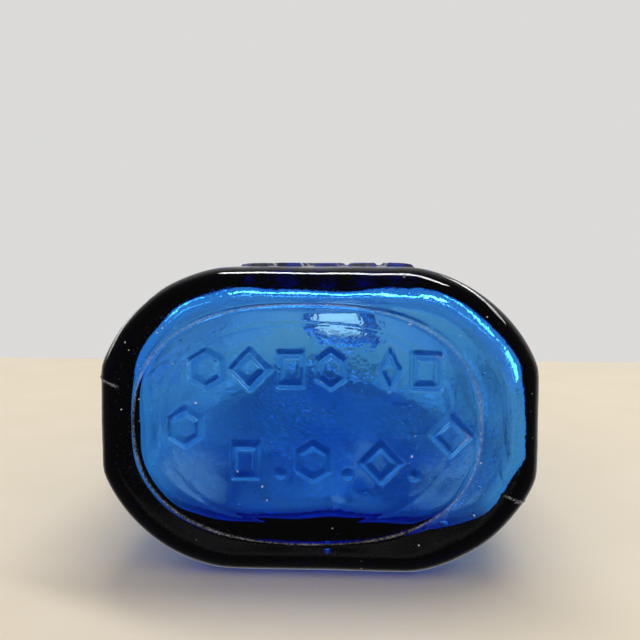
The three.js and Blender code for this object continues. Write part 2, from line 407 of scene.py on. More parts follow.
FRONT_ROWS = (38.0, 54.0, 70.0, 86.0)
FRONT_ROW_REACH = 6
FRONT_HEIGHT = 0.8
FRONT_MARK_SIZE = 6.0
FRONT_SQUARE_SIZE = 1.2 * FRONT_MARK_SIZE
FRONT_SQUEEZE = 0.9
FRONT_PITCH = 8.0
FRONT_COLUMNS = range(-2, 3)
BAR_OFFSET = 5.2
BAR_SHARE = 0.35
BAR_HALF_LENGTH = 18.5
BAR_HALF_WIDTH = 0.22


def front_relief(u, s):
    """Rows of plain raised shapes across the front panel, each row between two fine bars."""
    relief = np.zeros_like(u)
    for row, centre in enumerate(FRONT_ROWS):
        if np.abs(s - centre) > FRONT_ROW_REACH:
            continue
        for column in FRONT_COLUMNS:
            shape = (HEXAGON, DIAMOND, SQUARE)[(row + column) % 3]
            size = FRONT_SQUARE_SIZE if shape == SQUARE else FRONT_MARK_SIZE
            place = (column * FRONT_PITCH, centre)
            relief = np.maximum(relief, hollow_mark(u, s, place, shape, size, FRONT_SQUEEZE))
        for bar in (centre - BAR_OFFSET, centre + BAR_OFFSET):
            length = ridge(u, BAR_HALF_LENGTH, 0.3)
            relief = np.maximum(relief, BAR_SHARE * length * ridge(s - bar, BAR_HALF_WIDTH, 0.15))
    return FRONT_HEIGHT * relief


def seam_line(points, places):
    """Height round one ring of the raised mould seams at the given places on it."""
    height = np.zeros(len(points))
    for place in places:
        distance = np.hypot(*(points - place).T)
        height = np.maximum(height, SEAM_HEIGHT * np.exp(-((distance / SEAM_HALF_WIDTH) ** 2)))
    return height


# ------------------------------------------------------------------ the glass


def plate_seam(stops):
    """The oval joint line that the base plate of the mould leaves, a little left of the middle."""
    reach = outline(stops, HEEL_INSET) - PLATE_CENTRE
    bearing = np.arctan2(reach[:, 1], reach[:, 0])
    across, deep = np.abs(np.cos(bearing)) / PLATE_HALF[0], np.abs(np.sin(bearing)) / PLATE_HALF[1]
    radius = (across**PLATE_POWER + deep**PLATE_POWER) ** (-1 / PLATE_POWER)
    return PLATE_CENTRE + radius[:, None] * np.stack([np.cos(bearing), np.sin(bearing)], axis=1)


def plate_seam_height(distance):
    """Height of the plate's raised seam at a distance from its crest."""
    return PLATE_SEAM_HEIGHT * ridge(distance, PLATE_SEAM_HALF_WIDTH, PLATE_SEAM_SOFTNESS)


def base_ring(stops, share):
    """A ring of the base plate: 0 at its middle and 1 at its seam, domed inwards, with its marks raised."""
    points = PLATE_CENTRE + share * (plate_seam(stops) - PLATE_CENTRE)
    u, v = points.T
    dome = PUSH_UP * (1 - share**4)
    from_line = (share - INNER_LINE_SHARE) * PLATE_REACH
    inner_line = INNER_LINE_HEIGHT * ridge(from_line, INNER_LINE_HALF_WIDTH)
    seam = plate_seam_height((share - 1) * PLATE_REACH)
    s = dome - base_marks(u, v) - inner_line - seam + ripple(u, v, 0 * u, BASE_RIPPLE)
    return to_frame(u, s, v)


def bearing_ring(stops, share):
    """From the plate's seam, share 0, out to the start of the heel, share 1."""
    seam, edge = plate_seam(stops), outline(stops, HEEL_INSET)
    points = seam + share * (edge - seam)
    u, v = points.T
    distance = share * np.linalg.norm(edge - seam, axis=1)
    s = ripple(u, v, 0 * u, BASE_RIPPLE) * (1 - share) - plate_seam_height(distance)
    return to_frame(u, s, v)


def body_ring(stops, points, s, along=0.0):
    """One ring of the outside: its outline moved out by ripple, mould seams and the front panel's relief.

    along is how far the surface faces along s: 1 on the base and 0 on the sides.
    """
    places = [points[np.argmin(np.abs(stops - seam))] for seam in MOULD_SEAMS]
    normal = outward(points)
    u, v = points.T
    height = seam_line(points, places) + ripple(u, v, s, OUTSIDE_RIPPLE)
    on_front = (v > HALF_DEPTH - 1) & (np.abs(u) < FRONT_FLAT + 2)
    height = height + np.where(on_front, front_relief(u, s), 0)
    u, v = (points + normal * (height * (1 - along))[:, None]).T
    return to_frame(u, s - height * along, np.maximum(v, REST_GAP - HALF_DEPTH))


THREAD_FADE = 0.07


def thread_ends(turned, turns):
    """1 along a thread, fading to 0 at its two ends. turned counts turns from its top."""
    return np.clip(np.minimum(turned, turns - turned) / THREAD_FADE, 0, 1)


def thread_relief(bearing, s):
    """The thread's height on the finish. It is a little over one turn, so it passes some bearings twice."""
    relief = np.zeros(len(bearing))
    for extra in (0, 1):
        turned = (bearing % TURN) / TURN + extra
        ends = thread_ends(turned, THREAD_TURNS)
        distance = s - (THREAD_TOP - turned * THREAD_PITCH)
        relief = np.maximum(relief, THREAD_RISE * ends * ridge(distance, THREAD_CREST_HALF_WIDTH, 0.28))
    return relief


# Pairs (height, radius) up the neck, over its bead and up the plain part of the finish to the rim.
FINISH_PROFILE = (
    (NECK_START, NECK_RADIUS), (BEAD_START - 0.6, NECK_RADIUS), (BEAD_START, NECK_RADIUS + 0.5),
    (BEAD_START + 0.7, BEAD_RADIUS - 0.6), (BEAD_START + 1.5, BEAD_RADIUS), (BEAD_END - 1.6, BEAD_RADIUS),
    (BEAD_END - 0.8, BEAD_RADIUS - 0.5), (BEAD_END - 0.1, FINISH_RADIUS + 0.5),
    (BEAD_END + 0.5, FINISH_RADIUS), (HEIGHT - 1.1, FINISH_RADIUS), (HEIGHT - 0.5, FINISH_RADIUS - 0.2),
    (HEIGHT - 0.15, FINISH_RADIUS - 0.55), (HEIGHT, FINISH_RADIUS - 1.0),
)


def settled_glass(u, s):
    """Extra thickness of the back panel near the base, where the hot glass settled as the bottle lay."""
    taper = np.clip(1 - (s - FLOOR) / SETTLED_LENGTH, 0, 1) ** SETTLED_STEEPNESS
    wave = 1 + 0.06 * np.sin(0.42 * u + 0.6) + 0.04 * np.sin(0.19 * u + 2.0)
    return SETTLED_DEPTH * taper * wave * np.clip(1 - (u / SETTLED_HALF_WIDTH) ** 2, 0, 1)


def cavity_ring(stops, inset, s, low):
    """A ring of the inside. low goes from 0 under the shoulder to 1 near the base.

    There the cavity sits to one side, and both broad panels sag into it along their middle.
    """
    wall = WALL + (WALL_AT_HEEL - WALL) * low
    near, far = (outline(stops, depth, CAVITY_SOFTNESS) for depth in (wall, wall + 1))
    u, v = (near + (far - near) * np.reshape(inset, (-1, 1))).T
    u = u * (1 - SIDE_WALL_EXTRA * low / HALF_WIDTH)
    sag_share = PANEL_SAG_ABOVE + (1 - PANEL_SAG_ABOVE) * low
    sag = PANEL_SAG * sag_share * np.exp(-((u / PANEL_SAG_WIDTH) ** 2))
    v = v - np.sign(v) * sag * np.clip(np.abs(v) / (HALF_DEPTH - WALL), 0, 1) ** 2
    v = v + np.where(v < 0, settled_glass(u, s), 0)
    u = u + CAVITY_SHIFT * low
    normal = outward(np.stack([u, v], axis=1))
    thinned = THIN_CORNER * low * np.exp(-(((stops - THIN_CORNER_STOP) / THIN_CORNER_SPREAD) ** 2))
    height = ripple(u + INSIDE_RIPPLE_SHIFT, v, s, INSIDE_RIPPLE) + thinned
    return to_frame(u + normal[:, 0] * height, s + 0 * u, v + normal[:, 1] * height)


def bank(u, v):
    """Height of the bank of glass on the inside of the base, against the back panel."""
    rise = np.clip(1 - (v + HALF_DEPTH - WALL_AT_HEEL) / BANK_REACH, 0, 1) ** BANK_STEEPNESS
    return BANK_HEIGHT * rise * np.exp(-((u / BANK_HALF_WIDTH) ** 4))


def floor_relief(u, v, share):
    """How far the inside of the base stands above its edge: the push-up, a swell and the bank."""
    reach_u, reach_v = FLOOR_SWELL_REACH
    swell = FLOOR_SWELL * np.exp(-((u / reach_u) ** 2) - ((v - FLOOR_SWELL_CENTRE) / reach_v) ** 2)
    uneven = ripple(u, v, FLOOR_RIPPLE_PLACE, INSIDE_RIPPLE) * (1 - share)
    rise = PUSH_UP * (1 - share**4) + swell * (1 - share**6) + uneven
    return rise + bank(u, v)


def between(first, last, count):
    """Evenly spaced values from first to last, without the first, which an earlier ring already has."""
    return np.linspace(first, last, count + 1)[1:]


def grow_base(skin):
    """The base plate from its middle out, with more points round each ring as the rings grow."""
    quarter, half = BASE_STOPS[::4], BASE_STOPS[::2]
    shares = between(0, 1, 96)
    centre = to_frame(*(np.array([x]) for x in (PLATE_CENTRE[0], PUSH_UP, PLATE_CENTRE[1])))
    skin.start(centre, base_ring(quarter, shares[0]), quarter)
    for share in shares[1:]:
        stops = quarter if share < 0.25 else half if share < 0.5 else BASE_STOPS
        skin.grow(base_ring(stops, share), stops)
    for share in between(0, 1, 7):
        skin.grow(bearing_ring(BASE_STOPS, share), BASE_STOPS)


def body_heights():
    """Heights of the rings up the straight part of the body, close together where the front has relief."""
    heights = [HEEL_HEIGHT + 1.5]
    while heights[-1] < SHOULDER_START:
        near = min(abs(heights[-1] - row) for row in FRONT_ROWS) < 5.6
        heights.append(heights[-1] + (0.6 if near else 2.0))
    return [s for s in heights if s < SHOULDER_START - 1]


def grow_body(skin):
    """The outside from the heel to the top of the shoulder."""
    for angle in between(0, math.pi / 2, 17):
        points = outline(BODY_STOPS, HEEL_INSET * (1 - math.sin(angle)))
        s = HEEL_HEIGHT * (1 - math.cos(angle))
        skin.grow(body_ring(BODY_STOPS, points, s, math.cos(angle) ** 2), BODY_STOPS)
    for s in body_heights():
        skin.grow(body_ring(BODY_STOPS, outline(BODY_STOPS, 0), s), BODY_STOPS)
    for share, s in shoulder_profile(0, 16):
        points = outline(NECK_STOPS, 0) * (1 - share) + circle(NECK_STOPS, NECK_RADIUS) * share
        skin.grow(body_ring(NECK_STOPS, points, s), NECK_STOPS)


def grow_neck(skin):
    """The neck, its bead, the threaded finish and the rounded rim."""
    bearing = np.arctan2(*circle(NECK_STOPS, 1)[:, ::-1].T)
    neck = np.linspace(NECK_START + 1.5, BEAD_START - 0.8, 6)
    finish = np.arange(BEAD_START - 0.5, HEIGHT - 1.0, 0.36)
    rim = HEIGHT - np.array([0.9, 0.7, 0.5, 0.32, 0.15, 0.04, 0.0])
    for s in np.concatenate([neck, finish, rim]):
        plain_radius = np.interp(s, *zip(*FINISH_PROFILE))
        skin.grow(turned_ring(bearing, plain_radius + thread_relief(bearing, s), s), NECK_STOPS)


def grow_bore(skin):
    """The inside from the mouth down to the bottom of the shoulder."""
    mouth = (
        (BORE_RADIUS + 0.9, HEIGHT), (BORE_RADIUS + 0.4, HEIGHT - 0.12), (BORE_RADIUS, HEIGHT - 0.7),
    )
    for radius, s in mouth:
        skin.grow(level_ring(circle(INNER_STOPS, radius), s), INNER_STOPS)
    bore = circle(INNER_STOPS, BORE_RADIUS)
    for s in np.linspace(HEIGHT - 3, NECK_START + 2, 6):
        skin.grow(level_ring(bore * (1 + ripple(0, 0, s, BORE_RIPPLE)), s), INNER_STOPS)
    for share, s in shoulder_profile(2, 10)[::-1]:
        wall = cavity_ring(INNER_STOPS, 0, s, 0.0)
        skin.grow(wall * (1 - share) + level_ring(bore, s) * share, INNER_STOPS)


def grow_cavity(skin):
    """The inside from the bottom of the shoulder down to the inside heel, and in across the floor."""
    rim = cavity_ring(INNER_STOPS, INNER_HEEL, FLOOR, 1.0)
    rise = bank(rim[:, 0] / MM, rim[:, 2] / MM - AXIS_Z)
    top, heel_top = SHOULDER_START - 2, FLOOR + rise + INNER_HEEL
    for share in between(0, 1, 25):
        skin.grow(cavity_ring(INNER_STOPS, 0, top + (heel_top - top) * share, share), INNER_STOPS)
    for angle in between(math.pi / 2, 0, 13):
        inset, s = INNER_HEEL * (1 - math.sin(angle)), heel_top - INNER_HEEL * math.cos(angle)
        skin.grow(cavity_ring(INNER_STOPS, inset, s, 1.0), INNER_STOPS)
    middle = rim.mean(axis=0)
    for share in between(1, 0, 39)[:-1]:
        ring = middle + share * (rim - middle)
        ring[:, 1] += floor_relief(ring[:, 0] / MM, ring[:, 2] / MM - AXIS_Z, share) * MM
        skin.grow(ring, INNER_STOPS)
    middle[1] += float(floor_relief(0, 0, 0.0)) * MM
    skin.finish(middle)


def add_seed(skin, centre, radius, stretch):
    """A small bubble in the glass: a sphere that faces inwards, drawn out across the bottle."""
    around, rows = 14, 9
    stops = np.arange(around) * 8 / around
    angle = stops / 8 * TURN
    centre = np.array(centre)

    def ring(latitude):
        reach = radius * math.cos(latitude)
        return to_frame(
            centre[0] + stretch * reach * np.cos(angle),
            np.full(around, centre[1] + radius * math.sin(latitude)),
            centre[2] + reach * np.sin(angle),
        )

    latitudes = np.linspace(math.pi / 2, -math.pi / 2, rows + 2)
    poles = [to_frame(*np.array(centre + (0, k * radius, 0))) for k in (1, -1)]
    skin.start(poles[0], ring(latitudes[1]), stops)
    for latitude in latitudes[2:-1]:
        skin.grow(ring(latitude), stops)
    skin.finish(poles[1])


# Each bubble's centre, radius and stretch.
SEEDS = (
    ((23.0, 5.0, -18.2), 0.55, 1.6), ((-14.0, 3.6, -15.5), 0.22, 1.2), ((5.0, 4.1, 12.5), 0.2, 1.5),
    ((17.0, 4.0, 3.0), 0.24, 1.3), ((-21.0, 3.9, 6.0), 0.2, 1.8), ((29.5, 7.0, -12.0), 0.3, 1.2),
    ((-31.0, 6.5, -9.0), 0.28, 1.4), ((9.0, 3.8, -13.0), 0.26, 1.3), ((30.0, 5.5, 9.0), 0.25, 1.1),
    ((-6.0, 3.7, 1.5), 0.18, 1.6), ((2.0, 6.5, -24.2), 0.35, 2.0), ((-25.0, 5.5, 15.0), 0.2, 1.3),
)


def make_bottle():
    """The whole bottle as one closed skin, outside and inside, with the bubbles in its glass."""
    skin = Skin()
    for grow in (grow_base, grow_body, grow_neck, grow_bore, grow_cavity):
        grow(skin)
    for centre, radius, stretch in SEEDS:
        add_seed(skin, centre, radius, stretch)
    return skin.to_object("bottle_glass")


# ------------------------------------------------------------------ the closure

CAP_START = cap_low.y / MM - BASE_Y
CAP_TOP = cap_high.y / MM - BASE_Y
CAP_PANEL = CAP_TOP - 0.22
LINER_CLEARANCE = 0.05
CAP_UNDERSIDE = board_high.y / MM - BASE_Y + LINER_CLEARANCE
CAP_ROLL = 0.5
CAP_ROLL_RADIUS = (cap_high.x - cap_low.x) / 2 / MM
CAP_RADIUS = CAP_ROLL_RADIUS - 0.45
CAP_INNER_RADIUS = CAP_RADIUS - 0.5
KNURLS = 48
KNURL_HEIGHT = 0.25
CAP_THREAD_DROP = 1.6
CAP_THREAD_TURNS = 0.9
CAP_THREAD_HALF_WIDTH = 0.34
CAP_THREAD_INSIDE = 1.0
CAP_THREAD_OUTSIDE = 0.26
CAP_POINTS = 480
DISC_POINTS = 160


def even_stops(count):
    """Stops of a ring of evenly spaced points, and their bearings."""
    stops = np.arange(count) * 8 / count
    return stops, stops / 8 * TURN


CAP_STOPS, CAP_BEARING = even_stops(CAP_POINTS)
DISC_STOPS, DISC_BEARING = even_stops(DISC_POINTS)


def cap_ring(radius, s):
    return turned_ring(CAP_BEARING, radius, s)


def disc_ring(radius, s):
    return turned_ring(DISC_BEARING, radius, s)


def cap_thread(s):
    """1 along the helical bead that is rolled into the skirt, round a ring at height s."""
    turned = (CAP_BEARING % TURN) / TURN
    distance = s - (THREAD_TOP - CAP_THREAD_DROP - turned * THREAD_PITCH)
    return thread_ends(turned, CAP_THREAD_TURNS) * ridge(distance, CAP_THREAD_HALF_WIDTH, 0.2)


def skirt_radius(s):
    """The outside of the skirt, with the thread's groove and a band of flutes between its ends."""
    knurl_start, knurl_end = CAP_START + 2.1, CAP_TOP - 1.9
    in_band = np.clip(min(s - knurl_start, knurl_end - s) / 0.4, 0, 1)
    flute = (0.5 + 0.5 * np.cos(KNURLS * CAP_BEARING)) ** 0.8
    return CAP_RADIUS + KNURL_HEIGHT * in_band * flute - CAP_THREAD_OUTSIDE * cap_thread(s)


def cap_rings():
    """Pairs (radius, s) from the middle of the cap's underside, round its rolled edge and in over its top."""
    under = CAP_UNDERSIDE
    yield from ((10.0, under), (CAP_INNER_RADIUS - 0.4, under), (CAP_INNER_RADIUS - 0.1, under - 0.12))
    for s in np.arange(CAP_START + 0.3, under - 0.5, 0.25)[::-1]:
        yield CAP_INNER_RADIUS - CAP_THREAD_INSIDE * cap_thread(s), s
    for angle in np.linspace(-0.45 * math.pi, 0.5 * math.pi, 9):
        radius = CAP_ROLL_RADIUS - CAP_ROLL + CAP_ROLL * math.cos(angle)
        yield radius, CAP_START + CAP_ROLL + CAP_ROLL * math.sin(angle)
    for s in np.arange(CAP_START + 1.25, CAP_TOP - 1.5, 0.22):
        yield skirt_radius(s), s
    yield from (
        (CAP_RADIUS, CAP_TOP - 1.4), (14.5, CAP_TOP - 0.95), (14.25, CAP_TOP - 0.5), (13.8, CAP_TOP - 0.2),
        (13.2, CAP_TOP - 0.04), (12.2, CAP_TOP), (10.6, CAP_TOP), (10.1, CAP_TOP - 0.03),
        (9.7, CAP_TOP - 0.14), (9.3, CAP_PANEL), (7.0, CAP_PANEL), (3.0, CAP_PANEL),
    )


def make_cap():
    """The cap as one closed skin, from the middle of its underside to the middle of its sunk top."""
    skin = Skin()
    skin.start(to_frame(0, CAP_UNDERSIDE, 0), cap_ring(5.0, CAP_UNDERSIDE), CAP_STOPS)
    for radius, s in cap_rings():
        skin.grow(cap_ring(radius, s), CAP_STOPS)
    skin.finish(to_frame(0, CAP_PANEL, 0))
    return skin.to_object("screw_cap")


def make_disc(name, low, high, dent_radius, dent, edge):
    """A liner disc with a rounded edge, and a print of the bottle's rim, dent deep, in its underside."""
    radius = (high.x - low.x) / 2 / MM
    start, end = low.y / MM - BASE_Y, high.y / MM - BASE_Y
    middle, half = (start + end) / 2, (end - start) / 2
    skin = Skin()
    skin.start(to_frame(0, start, 0), disc_ring(2.0, start), DISC_STOPS)
    for r in np.arange(2.6, radius - edge - 0.1, 0.3):
        skin.grow(disc_ring(r, start + dent * ridge(r - dent_radius, 0.9, 0.25)), DISC_STOPS)
    for angle in np.linspace(-math.pi / 2, math.pi / 2, 7):
        rounded = radius - edge * (1 - math.cos(angle))
        skin.grow(disc_ring(rounded, middle + half * math.sin(angle)), DISC_STOPS)
    for r in np.arange(radius - edge - 1.0, 2.0, -1.4):
        skin.grow(disc_ring(r, end), DISC_STOPS)
    skin.finish(to_frame(0, end, 0))
    return skin.to_object(name)


# ------------------------------------------------------------------ materials


class Nodes:
    """A short way to write a node tree: nodes are made by type, with their inputs set or linked by name."""

    def __init__(self, owner):
        self.owner = owner
        owner.use_nodes = True
        self.tree = owner.node_tree
        self.tree.nodes.clear()

    def add(self, kind, settings=None, **inputs):
        node = self.tree.nodes.new("ShaderNode" + kind)
        for key, value in (settings or {}).items():
            setattr(node, key, value)
        for key, value in inputs.items():
            self.set(node, key.replace("_", " "), value)
        return node

    def set(self, node, socket, value):
        """Sets one input, or links it where the value is another node's output."""
        if isinstance(value, bpy.types.NodeSocket):
            self.tree.links.new(value, node.inputs[socket])
        else:
            node.inputs[socket].default_value = value

    def place(self):
        """The point being shaded, in the frame's metres."""
        return self.add("TexCoord").outputs["Object"]

    def noise(self, scale, detail=2.0, roughness=0.5, vector=None):
        """Noise with its scale given as the size of its features, in millimetres."""
        where = vector or self.place()
        node = self.add("TexNoise", Vector=where, Scale=1000 / scale, Detail=detail, Roughness=roughness)
        return node.outputs["Fac"]

    def ramp(self, value, low, high, to_low=0.0, to_high=1.0, kind="LINEAR"):
        """A value carried from low..high to to_low..to_high, and held there beyond either end."""
        limits = {"From_Min": low, "From_Max": high, "To_Min": to_low, "To_Max": to_high}
        node = self.add("MapRange", {"interpolation_type": kind}, Value=value, **limits)
        return node.outputs["Result"]

    def smooth_ramp(self, value, low, high, to_low=0.0, to_high=1.0):
        return self.ramp(value, low, high, to_low, to_high, "SMOOTHSTEP")

    def math(self, operation, first, *others):
        """A Math node, with its inputs in order."""
        node = self.add("Math", {"operation": operation})
        for socket, value in enumerate((first, *others)):
            self.set(node, socket, value)
        return node.outputs[0]

    def mix(self, share, first, second):
        node = self.add("MixRGB")
        self.set(node, "Fac", share)
        self.set(node, "Color1", first)
        self.set(node, "Color2", second)
        return node.outputs["Color"]

    def bump(self, height, strength, distance, below=None):
        node = self.add("Bump", Strength=strength, Distance=distance, Height=height)
        if below is not None:
            self.set(node, "Normal", below)
        return node.outputs["Normal"]

    def output(self, surface, volume=None):
        node = self.add("OutputMaterial", Surface=surface.outputs[0])
        if volume is not None:
            self.set(node, "Volume", volume.outputs[0])
        return self.owner


SEAM_WEAR_EDGE = 0.34
SEAM_WEAR_CORE = 0.14
POLISHED = 0.015
FROSTED = 0.4
DUST_DULLNESS = 0.85
FROST_DULLNESS = 0.24
GLASS_TINT = (0.0625, 0.63, 0.96, 1.0)
GLASS_DENSITY = 310.0


def seam_wear(nodes, axes, seam):
    """1 on the line that a mould seam takes across the heel, from the bearing ring out to the side."""
    (u, v), (inner_u, inner_v) = (outline(np.array([seam]), inset)[0] for inset in (0, HEEL_INSET))
    slope = float((inner_v - v) / (inner_u - u))
    along = nodes.math("SUBTRACT", axes["X"], float(u) * MM)
    line = nodes.math("MULTIPLY_ADD", along, slope, float(v + AXIS_Z) * MM)
    away = nodes.math("ABSOLUTE", nodes.math("SUBTRACT", axes["Z"], line))
    near = nodes.ramp(away, SEAM_WEAR_EDGE * MM, SEAM_WEAR_CORE * MM)
    heel_start = abs(inner_u) * MM
    outside = nodes.ramp(nodes.math("ABSOLUTE", axes["X"]), heel_start, heel_start + 0.5 * MM)
    heel_top = BASE_Y + HEEL_HEIGHT
    on_heel = nodes.ramp(axes["Y"], heel_top * MM, (heel_top - 0.3 * HEEL_HEIGHT) * MM)
    return nodes.math("MULTIPLY", near, nodes.math("MULTIPLY", outside, on_heel))


def glass_skin(nodes, height):
    """The glass's normal: orange peel, slow flow, and a finer grain everywhere above the base."""
    above_base = nodes.ramp(height, (BASE_Y + 3.5) * MM, (BASE_Y + 6) * MM)
    grain = nodes.math("MULTIPLY", nodes.noise(1.5, 2.0), above_base)
    normal = nodes.bump(nodes.noise(3.2, 3.0, 0.55), 0.1, 0.25 * MM)
    normal = nodes.bump(nodes.noise(14.0, 1.0, 0.4), 0.1, 1.2 * MM, normal)
    return nodes.bump(grain, 0.35, 0.25 * MM, normal)


def glass_wear(nodes, axes):
    """Where the glass is scuffed on its bearing ring, and where its seams are worn to a frosted line."""
    on_ring = nodes.ramp(axes["Y"], (BASE_Y + 0.5) * MM, (BASE_Y + 0.05) * MM)
    scuffs = nodes.ramp(nodes.noise(0.6, 4.0, 0.7), 0.52, 0.7)
    scuffed = nodes.math("MULTIPLY", on_ring, scuffs)
    on_seam = nodes.ramp(axes["Y"], (BASE_Y - 0.12) * MM, (BASE_Y - 0.34) * MM)
    for seam in MOULD_SEAMS:
        on_seam = nodes.math("MAXIMUM", on_seam, seam_wear(nodes, axes, seam))
    broken = nodes.ramp(nodes.noise(0.5, 3.0, 0.7), 0.42, 0.6, 0.15, 1.0)
    return scuffed, nodes.math("MULTIPLY", on_seam, broken)


def glass_material():
    """Clear cobalt glass, tinted by its depth, with a faintly uneven skin, dust and wear on its base."""
    nodes = Nodes(bpy.data.materials.new("cobalt_glass"))
    axes = nodes.add("SeparateXYZ", Vector=nodes.place()).outputs
    scuffed, frosted = glass_wear(nodes, axes)
    roughness = nodes.ramp(nodes.math("MAXIMUM", scuffed, frosted), 0.0, 1.0, POLISHED, FROSTED)
    dust = nodes.math("MULTIPLY", nodes.ramp(nodes.noise(0.8, 0.0), 0.865, 0.895), DUST_DULLNESS)
    dull = nodes.math("ADD", dust, nodes.math("MULTIPLY", frosted, FROST_DULLNESS))
    surface = nodes.add("BsdfPrincipled", Roughness=roughness, IOR=1.5)
    nodes.set(surface, "Normal", glass_skin(nodes, axes["Y"]))
    nodes.set(surface, "Base Color", (1.0, 1.0, 1.0, 1.0))
    nodes.set(surface, "Transmission Weight", nodes.math("SUBTRACT", 1.0, dull))
    volume = nodes.add("VolumeAbsorption", Color=GLASS_TINT, Density=GLASS_DENSITY)
    return nodes.output(surface, volume)


ENAMEL_PALE = (0.74, 0.69, 0.56, 1)
ENAMEL_AGED = (0.62, 0.56, 0.42, 1)
BARE_METAL = (0.36, 0.35, 0.33, 1)
RUSTED_METAL = (0.23, 0.1, 0.04, 1)
RUST_STAIN = (0.25, 0.12, 0.05, 1)


def axis_distance(nodes):
    """Distance from the bottle's axis."""
    axes = nodes.add("SeparateXYZ", Vector=nodes.place()).outputs
    across = axes["X"]
    deep = nodes.math("SUBTRACT", axes["Z"], AXIS_Z * MM)
    squares = (nodes.math("MULTIPLY", side, side) for side in (across, deep))
    return nodes.math("SQRT", nodes.math("ADD", *squares))


def enamel_material():
    """Cream enamel on tinplate, chipped to grey metal, most of all on the flutes, with a few rust spots."""
    nodes = Nodes(bpy.data.materials.new("cap_enamel"))
    on_crest = nodes.ramp(axis_distance(nodes), (CAP_RADIUS + 0.1) * MM, (CAP_RADIUS + 0.26) * MM)
    patches = nodes.noise(2.4, 5.0, 0.65)
    worn = nodes.ramp(nodes.math("ADD", patches, nodes.math("MULTIPLY", on_crest, 0.18)), 0.63, 0.67)
    rust = nodes.ramp(nodes.noise(3.6, 6.0, 0.7), 0.64, 0.72)
    cream = nodes.mix(nodes.noise(9.0, 3.0), ENAMEL_PALE, ENAMEL_AGED)
    metal = nodes.mix(rust, BARE_METAL, RUSTED_METAL)
    colour = nodes.mix(worn, cream, metal)
    colour = nodes.mix(nodes.math("MULTIPLY", rust, 0.6), colour, RUST_STAIN)
    roughness = nodes.ramp(nodes.noise(1.6, 4.0), 0.3, 0.7, 0.28, 0.5)
    bare = nodes.math("MULTIPLY", worn, 0.85)
    depth = nodes.math("SUBTRACT", nodes.math("MULTIPLY", nodes.noise(0.8, 3.0), 0.3), worn)
    surface = nodes.add("BsdfPrincipled", Roughness=roughness, Metallic=bare)
    nodes.set(surface, "Base Color", colour)
    nodes.set(surface, "Normal", nodes.bump(depth, 0.5, 0.08 * MM))
    return nodes.output(surface)


BOARD_DARK = (0.32, 0.23, 0.14, 1)
BOARD_PALE = (0.52, 0.41, 0.27, 1)
BOARD_FLECK = (0.12, 0.09, 0.06, 1)


def board_material():
    """Matt pulp board: grey-brown fibres, with darker flecks."""
    nodes = Nodes(bpy.data.materials.new("pulp_board"))
    stretch = nodes.add("Mapping", Vector=nodes.place(), Scale=(1.0, 1.0, 5.0)).outputs["Vector"]
    fibres = nodes.noise(1.6, 5.0, 0.7, stretch)
    flecks = nodes.ramp(nodes.noise(0.5, 2.0), 0.62, 0.7)
    colour = nodes.mix(nodes.ramp(fibres, 0.35, 0.65), BOARD_DARK, BOARD_PALE)
    surface = nodes.add("BsdfPrincipled", Roughness=nodes.ramp(fibres, 0.3, 0.7, 0.8, 0.98))
    nodes.set(surface, "Base Color", nodes.mix(flecks, colour, BOARD_FLECK))
    nodes.set(surface, "Normal", nodes.bump(fibres, 0.6, 0.2 * MM))
    return nodes.output(surface)


PAPER_DRY = (0.86, 0.82, 0.72, 1)
PAPER_WAXED = (0.74, 0.68, 0.55, 1)


def facing_material():
    """Waxed paper: off-white, faintly mottled where the wax has soaked in."""
    nodes = Nodes(bpy.data.materials.new("waxed_paper"))
    mottle = nodes.noise(2.8, 4.0, 0.6)
    surface = nodes.add("BsdfPrincipled", Roughness=nodes.ramp(mottle, 0.3, 0.7, 0.3, 0.5))
    nodes.set(surface, "Base Color", nodes.mix(nodes.ramp(mottle, 0.3, 0.7), PAPER_DRY, PAPER_WAXED))
    nodes.set(surface, "Subsurface Weight", 0.1)
    nodes.set(surface, "Normal", nodes.bump(nodes.noise(1.1, 3.0), 0.35, 0.1 * MM))
    return nodes.output(surface)


FLOOR_DARK = (0.79, 0.69, 0.52, 1)
FLOOR_PALE = (0.82, 0.72, 0.56, 1)


def floor_material():
    """Plain and pale, with the faintest change of tone across it."""
    nodes = Nodes(bpy.data.materials.new("floor"))
    tone = nodes.ramp(nodes.noise(30.0, 3.0), 0.3, 0.7)
    surface = nodes.add("BsdfPrincipled", Roughness=0.6)
    nodes.set(surface, "Base Color", nodes.mix(tone, FLOOR_DARK, FLOOR_PALE))
    return nodes.output(surface)


# ------------------------------------------------------------------ the assembly


def dress(piece, body, node, material):
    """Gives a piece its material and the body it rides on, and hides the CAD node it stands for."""
    piece.data.materials.append(material)
    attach(piece, body)
    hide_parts(node)


dress(make_bottle(), "bottle", "glass_bottle", glass_material())
dress(make_cap(), "cap", "cap_shell", enamel_material())
board = make_disc("liner_pulp_disc", board_low, board_high, 11.0, 0.0, 0.12)
dress(board, "liner", "liner_board", board_material())
facing = make_disc("liner_waxed_disc", facing_low, facing_high, 10.9, 0.1, 0.06)
dress(facing, "liner", "liner_facing", facing_material())


# ------------------------------------------------------------------ floor, light and camera, in metres


FLOOR_REACH = 2.0
FLOOR_FAR_EDGE = 0.228


def lay_floor():
    """A flat floor that ends a little behind the bottle, where the wall starts."""
    side, near, far = FLOOR_REACH, -FLOOR_REACH, FLOOR_FAR_EDGE
    corners = [(-side, near, 0.0), (side, near, 0.0), (side, far, 0.0), (-side, far, 0.0)]
    mesh = bpy.data.meshes.new("floor")
    mesh.from_pydata(corners, [], [(0, 1, 2, 3)])
    mesh.materials.append(floor_material())
    piece = bpy.data.objects.new("floor", mesh)
    bpy.context.scene.collection.objects.link(piece)
    piece.visible_glossy = False


WALL_COLOUR = (1.0, 0.99, 0.975, 1.0)
WALL_LIGHT = 0.71
AMBIENT_LIGHT = 0.56


